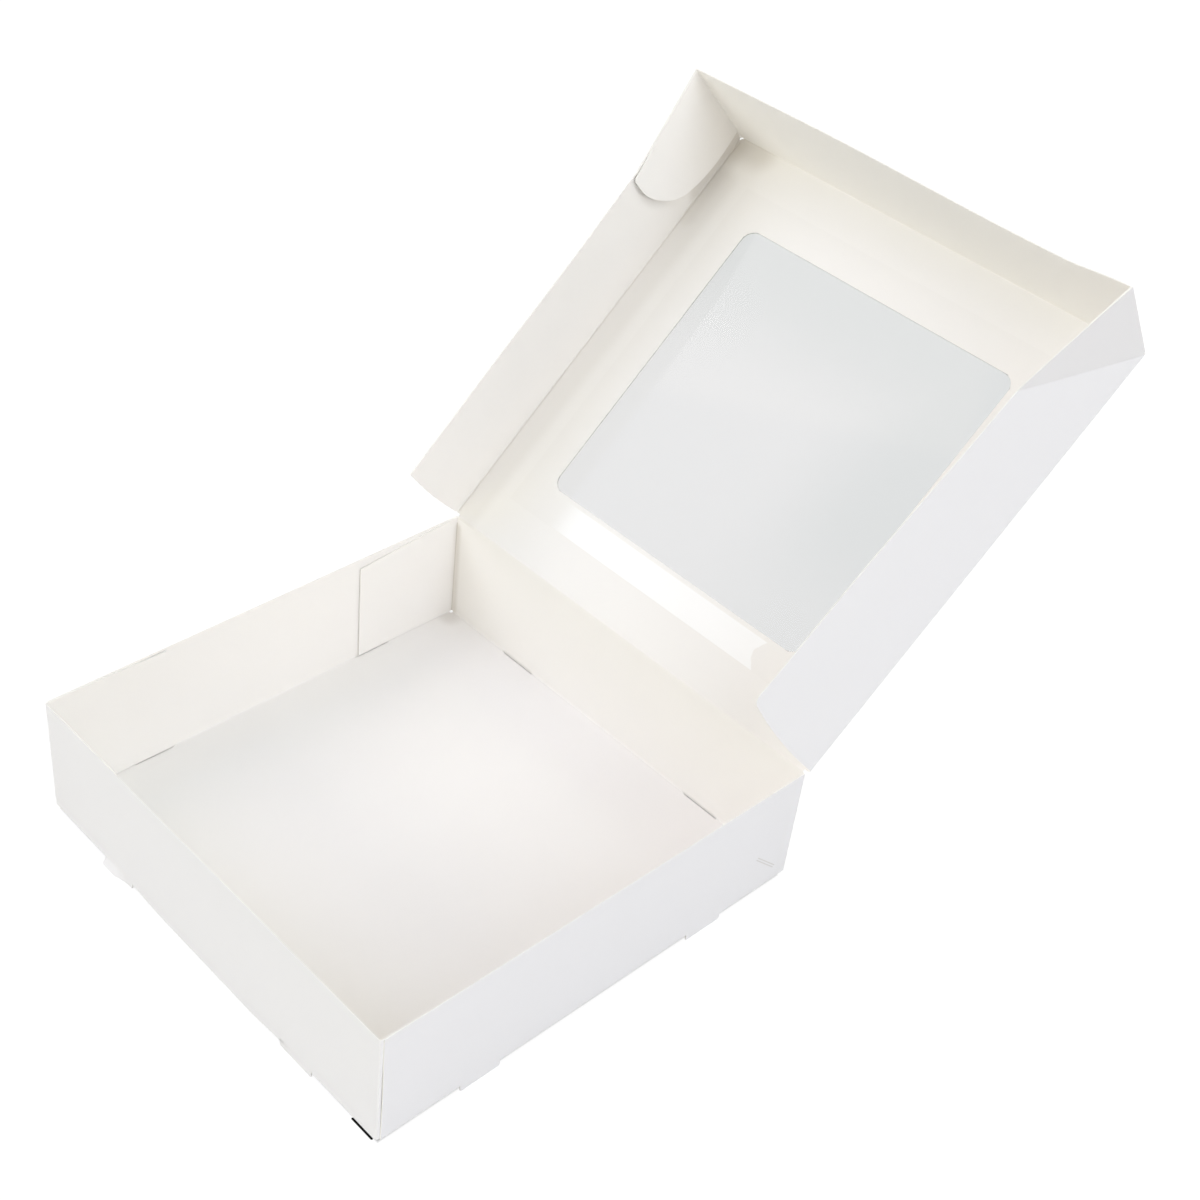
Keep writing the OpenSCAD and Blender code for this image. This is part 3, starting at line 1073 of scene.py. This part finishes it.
@dataclass
class LidSheet:
    """The lid's panel with its window, the folds along its edges and the front flap with its corner folds.

    Attributes:
        lid: The lid's directions and sizes.
        window: The window.
        start: Where the panel starts, from the hinge.
        rings: Grid lines between the panel's edge and the window.
        count: Grid lines along each side of the window.
        bow: How far the front flap's free edge is bowed in.
    """

    lid: LidFrame
    window: Window = Window()
    start: float = 1.2
    rings: int = 9
    count: int = 65
    bow: float = 2.1

    def panel(self) -> list[Patch]:
        """The panel as four fans between its edge and the window."""
        lid = self.lid
        edge_x = lid.half - FOLD_R
        t0, t1 = self.start, lid.length - FOLD_R
        hole = self.window
        w0, w1 = hole.span
        mid = (w0 + w1) / 2
        share = np.linspace(0, 1, self.rings)[:, None]
        along_t = hole.side(self.count, w1 - w0)
        along_x = hole.side(self.count, 2 * hole.half)
        patches = []
        outer_t = np.linspace(t0, t1, self.count)
        outer_x = np.linspace(-edge_x, edge_x, self.count)
        for side in (-1, 1):
            x = side * ((1 - share) * edge_x + share * (hole.half - along_t[:, 1]))
            x = x + share * hole.middle_x
            t = (1 - share) * outer_t + share * (mid + along_t[:, 0])
            patches.append(self.flat_patch(x + 0 * t, t))
        for t_edge, w_edge, sign in ((t0, w0, 1), (t1, w1, -1)):
            x = (1 - share) * outer_x + share * (along_x[:, 0] + hole.middle_x)
            t = (1 - share) * t_edge + share * (w_edge + sign * along_x[:, 1])
            patches.append(self.flat_patch(x, t + 0 * x))
        return patches

    def flat_patch(self, x: np.ndarray, t: np.ndarray) -> Patch:
        """A patch in the panel's plane, its outer face away from the tray."""
        _, inward = self.lid.axes
        return Patch(self.lid.place(x, t, -BOARD / 2), np.stack([x, t], -1), tuple(-inward))

    def side_fold(self, side: Side) -> Patch:
        """The quarter-round fold between the panel and a side flap."""
        lid = self.lid
        out, up = quarter()
        t = lines([1.5, lid.length - FOLD_R - 1.0], 4)
        x = side.value * (lid.half - FOLD_R + FOLD_R * out)
        n = -BOARD / 2 + FOLD_R * up
        points = lid.place(x[:, None], t[None, :], n[:, None])
        uv = np.stack(np.broadcast_arrays(x[:, None], t[None, :]), -1)
        _, inward = lid.axes
        return Patch(points, uv, tuple(np.array([side.value, 0, 0]) - inward))

    def front_fold(self) -> Patch:
        """The quarter-round fold between the panel and the front flap."""
        lid = self.lid
        out, up = quarter()
        end = lid.half - FOLD_R - 1.0
        x = lines([-end, end], 4)
        t = lid.length - FOLD_R + FOLD_R * out
        n = -BOARD / 2 + FOLD_R * up
        points = lid.place(x[None, :], t[:, None], n[:, None])
        uv = np.stack(np.broadcast_arrays(x[None, :], t[:, None]), -1)
        along, inward = lid.axes
        return Patch(points, uv, tuple(along - inward))

    def front_flap(self) -> Patch:
        """The front flap, a little bowed in at its free edge, and the standing folds at its ends."""
        lid = self.lid
        flat = lid.half - BOARD - FOLD_R
        out, up = quarter()
        along = lines([-flat, flat], 4)
        arc_x = flat + FOLD_R * out[1:]
        arc_t = lid.length - FOLD_R * up[1:]
        x = np.concatenate([-arc_x[::-1], along, arc_x])
        t = np.concatenate([arc_t[::-1], np.full(len(along), lid.length), arc_t])
        top = lid.flap + 0.25
        n = lines([0.8, 1.45, top], 4)
        swell = smooth(x, -60, 82) * (1 - 0.85 * smooth(x, 92, flat))
        bow = self.bow * swell[None, :] * ((n / lid.flap) ** 2)[:, None]
        points = lid.place(x[None, :], t[None, :] - bow, n[:, None] - 0.5 * bow)
        uv = np.stack(np.broadcast_arrays(x[None, :], n[:, None] + 300), -1)
        along_dir, _ = lid.axes
        return Patch(points, uv, tuple(along_dir))

    def build(self, finishes: Finishes) -> bpy.types.Object:
        """The sheet as one piece on the lid's body."""
        patches = [*self.panel(), *(self.side_fold(s) for s in Side), self.front_fold(), self.front_flap()]
        obj = board_piece("lid_board", patches, finishes, "lid")
        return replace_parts(obj, "lid")


@dataclass
class Crease:
    """The scored strip between the back wall and the lid's panel, bent to the lid's open angle."""

    lid: LidFrame
    low: float = 64.0
    reach: float = 1.2
    half: float = 123.45
    radius: float = 1.0

    def build(self, finishes: Finishes) -> bpy.types.Object:
        """The strip as one piece, in place between the tray and the lid."""
        _, hy, hz = self.lid.hinge
        u, v = self.lid.axes
        turn = math.radians(self.lid.angle - 90)
        tangent = self.radius * math.tan(turn / 2)
        angle = np.linspace(0, turn, 7)
        middle_y = hy + self.radius - self.radius * np.cos(angle)
        middle_z = hz - tangent + self.radius * np.sin(angle)
        normal_y, normal_z = np.cos(angle), -np.sin(angle)
        y = np.concatenate([[hy + BOARD / 2], middle_y + normal_y * BOARD / 2])
        z = np.concatenate([[self.low], middle_z + normal_z * BOARD / 2])
        end = np.array([0, hy, hz]) + self.reach * u - BOARD / 2 * v
        y, z = np.append(y, end[1]), np.append(z, end[2])
        x = lines([-self.half, self.half], 4)
        grid_x = np.repeat(x[None, :], len(y), 0)
        grid_y, grid_z = (np.repeat(a[:, None], len(x), 1) for a in (y, z))
        points = np.stack([grid_x, grid_y, grid_z], -1)
        obj = mesh_from("hinge_crease", [Patch(points, np.stack([grid_x, grid_z], -1), (0, 1, 0))])
        thicken(obj, BOARD)
        for material in finishes.board:
            obj.data.materials.append(material)
        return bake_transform(obj)


@dataclass
class Film:
    """The clear film glued inside the panel round the window."""

    lid: LidFrame
    window: Window = Window()
    half: float = 103.75
    span: tuple[float, float] = (23.6, 228.75)
    thickness: float = 0.12

    def build(self, finishes: Finishes) -> bpy.types.Object:
        """The film as one piece on the lid's body."""
        hole = self.window
        low, high = hole.span
        corner = np.linspace(0, hole.radius, 15)
        x = np.concatenate([-hole.half + corner, hole.half - corner]) + hole.middle_x
        x = lines([*x, -self.half, self.half], 8)
        t = lines([*(low + corner), *(high - corner), *self.span], 8)
        n = BOARD / 2 + 0.03 + self.thickness
        points = self.lid.place(x[None, :], t[:, None], n)
        _, inward = self.lid.axes
        uv = np.stack(np.broadcast_arrays(x[None, :], t[:, None]), -1)
        obj = mesh_from("window_film_sheet", [Patch(points, uv, tuple(inward))])
        solid = obj.modifiers.new("thickness", "SOLIDIFY")
        solid.thickness = self.thickness * MM
        solid.offset = -1
        dress(obj, finishes.film, "lid")
        mid_x, mid_t = np.meshgrid(middles(x), middles(t))
        glued = hole.outside(mid_x, mid_t)
        obj.data.polygons.foreach_set("material_index", glued.astype(np.int32).ravel())
        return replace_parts(obj, "window_film")


@dataclass(frozen=True)
class CameraRig:
    """The photo's camera as fitted: angles in degrees, shifts in millimetres, lengths in pixels of its frame."""

    azimuth: float = 44.68
    elevation: float = 38.85
    roll: float = 5.54
    shift: tuple[float, float, float] = (-53.0, 104.8, 930.3)
    focal: float = 1924.0
    centre: tuple[float, float] = (529.2, 620.5)
    frame_px: float = 1200.0
    sensor: float = 36.0

    def axes(self) -> tuple[np.ndarray, np.ndarray, np.ndarray]:
        """The camera's right, up and forward directions."""
        a, e, r = (math.radians(v) for v in (self.azimuth, self.elevation, self.roll))
        forward = np.array([-math.sin(a) * math.cos(e), math.cos(a) * math.cos(e), -math.sin(e)])
        right = np.cross(forward, [0, 0, 1])
        right /= np.linalg.norm(right)
        up = np.cross(right, forward)
        return (
            math.cos(r) * right + math.sin(r) * up,
            -math.sin(r) * right + math.cos(r) * up,
            forward,
        )

    def place(self) -> np.ndarray:
        """The camera's place in millimetres."""
        right, up, forward = self.axes()
        return -(np.array([right, -up, forward]).T @ np.array(self.shift))

    def build(self) -> bpy.types.Object:
        """The camera, set as the scene's own."""
        right, up, forward = self.axes()
        data = bpy.data.cameras.new("camera")
        data.sensor_width = self.sensor
        data.lens = self.focal / self.frame_px * self.sensor
        data.shift_x = (self.frame_px / 2 - self.centre[0]) / self.frame_px
        data.shift_y = (self.centre[1] - self.frame_px / 2) / self.frame_px
        data.clip_start, data.clip_end = 0.01, 50
        obj = linked("camera", data)
        turn = Matrix([[right[i], up[i], -forward[i]] for i in range(3)]).to_4x4()
        obj.matrix_world = Matrix.Translation(self.place() * MM) @ turn
        bpy.context.scene.camera = obj
        return obj


@dataclass(frozen=True)
class Lamp:
    """One soft square lamp that faces the box.

    Attributes:
        name: Its name.
        azimuth: Its bearing in degrees: 0 in front, 90 at the right, 180 behind.
        elevation: Its height over the horizon in degrees.
        power: Its red, green and blue power in watts.
        distance: Its distance from the box in metres.
        size: Its width in metres.
    """

    name: str
    azimuth: float
    elevation: float
    power: tuple[float, float, float]
    distance: float = 3.2
    size: float = 2.4

    def build(self) -> bpy.types.Object:
        """The lamp, linked to the scene."""
        data = bpy.data.lights.new(self.name, "AREA")
        data.shape = "SQUARE"
        data.size = self.size
        data.energy = max(self.power)
        data.color = tuple(p / max(self.power) for p in self.power)
        obj = linked(self.name, data)
        a, e = math.radians(self.azimuth), math.radians(self.elevation)
        way = Vector((math.sin(a) * math.cos(e), -math.cos(a) * math.cos(e), math.sin(e)))
        obj.location = way * self.distance
        aim = Vector((0, 0.05, 0.08)) - obj.location
        obj.rotation_euler = aim.to_track_quat("-Z", "Y").to_euler()
        return obj


@dataclass
class Studio:
    """The pale floor, the white surroundings and the lamps.

    Attributes:
        world: Colour of the surroundings as a light on the box.
        lamps: The soft lamps.
        floor_colour: The floor's grey as it lights the box.
        floor_seen: Its grey to the camera.
        floor_glow: Its glow to the camera outside the box's footprint.
        floor_z: Its height, just under the feet.
        footprint: Half the width of the dark place under the box.
        contact: A painted contact shadow: a short black line on the floor where the front corner nearly touches it.
    """

    world: tuple[float, float, float] = (0.07, 0.06, 0.08)
    lamps: tuple[Lamp, ...] = (
        Lamp("right", 90, 45, (41.0, 43.2, 46.2)),
        Lamp("left_front", -45, 45, (25.9, 28.4, 34.6)),
        Lamp("left", -90, 45, (27.7, 23.4, 18.0)),
        Lamp("back", 180, 45, (23.6, 26.1, 21.6)),
        Lamp("front", 0, 40, (9.7, 8.9, 9.0)),
        Lamp("low_front", 0, 12, (44.7, 45.0, 34.6)),
        Lamp("low_right", 90, 12, (34.2, 33.2, 30.1)),
        Lamp("top", 0, 90, (1.8, 2.2, 3.2)),
    )
    floor_colour: float = 0.75
    floor_seen: float = 0.12
    floor_glow: float = 0.94
    floor_z: float = -3.05
    footprint: float = 124.2
    contact: Mark = Mark((107.5, -124.0), (120.3, -124.0), 0.8, 0.35, 1.0)

    def sky(self) -> None:
        """White to the camera and in reflections, softer as a light on the box."""
        world = bpy.data.worlds.new("studio")
        bpy.context.scene.world = world
        world.use_nodes = True
        s = Shader(world.node_tree)
        out = s.add("ShaderNodeOutputWorld")
        seen, soft = s.add("ShaderNodeBackground"), s.add("ShaderNodeBackground")
        seen.inputs[0].default_value = (1, 1, 1, 1)
        seen.inputs[1].default_value = 1.0
        soft.inputs[0].default_value = (*self.world, 1)
        soft.inputs[1].default_value = 1.0
        mix = s.add("ShaderNodeMixShader")
        s.link(s.seen(), mix.inputs[0])
        s.link(soft.outputs[0], mix.inputs[1])
        s.link(seen.outputs[0], mix.inputs[2])
        s.link(mix.outputs[0], out.inputs[0])

    def floor(self) -> bpy.types.Object:
        """A large pale floor that takes the box's contact shadows, with a painted contact shadow line by the front
        corner.
        """
        size = 12.0
        corners = [(-size, -size), (size, -size), (size, size), (-size, size)]
        mesh = bpy.data.meshes.new("floor")
        mesh.from_pydata([(x, y, self.floor_z * MM) for x, y in corners], [], [(0, 1, 2, 3)])
        layer = mesh.uv_layers.new(name="UVMap")
        layer.data.foreach_set("uv", np.array(corners, np.float32).ravel())
        obj = linked("floor", mesh)
        material, s = new_material("floor_white")
        shader = s.surface(0.9, 0.1)
        shader.inputs["Emission Color"].default_value = (1, 1, 1, 1)
        rays = s.seen()
        tone = s.mix(rays, (*[self.floor_colour] * 3, 1), (*[self.floor_seen] * 3, 1))
        # Painted contact shadow: along this short line the floor turns black and loses its glow.
        painted_contact_shadow = self.contact.node(s, bpy.data.node_groups["score_and_painted_shade_mark"])
        tone = s.mix(painted_contact_shadow, tone, (0.0, 0.0, 0.0, 1))
        s.link(tone, shader.inputs["Base Color"])
        place = s.add("ShaderNodeSeparateXYZ")
        s.link(s.add("ShaderNodeTexCoord").outputs["Object"], place.inputs[0])
        reach = s.math("MAXIMUM", *(s.math("ABSOLUTE", place.outputs[i]) for i in (0, 1)))
        clear = s.ramp(reach, (self.footprint - 3) * MM, self.footprint * MM, 0.0, 1.0)
        clear = s.math("MULTIPLY", clear, s.math("SUBTRACT", 1.0, painted_contact_shadow))
        glow = s.math("MULTIPLY", s.math("MULTIPLY", rays, clear), self.floor_glow)
        s.link(glow, shader.inputs["Emission Strength"])
        mesh.materials.append(material)
        obj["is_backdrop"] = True
        return obj

    def build(self) -> None:
        """The whole studio."""
        bpy.context.scene.view_settings.view_transform = "Standard"
        self.sky()
        self.floor()
        for lamp in self.lamps:
            lamp.build()


@dataclass
class CakeBox:
    """The whole box, piece by piece."""

    lid: LidFrame = field(default_factory=LidFrame)
    left: FlapShape = FlapShape(Side.LEFT, 10.8, 8.6, (1.0, -0.6), 0.0, 1.6)
    right: FlapShape = FlapShape(Side.RIGHT, 13.2, 9.2, (2.0, 9.2), 3.5, 0.0)

    def build(self, finishes: Finishes) -> list[bpy.types.Object]:
        """Every piece of the box."""
        made = [Tray().build(finishes), LidSheet(self.lid).build(finishes)]
        for shape in (self.left, self.right):
            made.append(LidFlap(self.lid, shape).build(finishes))
            made.append(LidEar(self.lid, shape).build(finishes))
        made.append(Crease(self.lid).build(finishes))
        made.append(Film(self.lid).build(finishes))
        for obj in made:
            log.info("made %s", obj.name)
        return made


def corners() -> list[list[float]]:
    """The shown object's lowest and highest corner as plain lists."""
    return [list(corner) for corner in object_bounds()]


def main() -> None:
    """Builds the scene."""
    logging.basicConfig(level=logging.INFO, format="%(message)s")
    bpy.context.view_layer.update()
    CakeBox().build(Finishes().make())
    Studio().build()
    CameraRig().build()
    bpy.context.view_layer.update()
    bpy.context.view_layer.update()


if __name__ == "__main__":
    main()
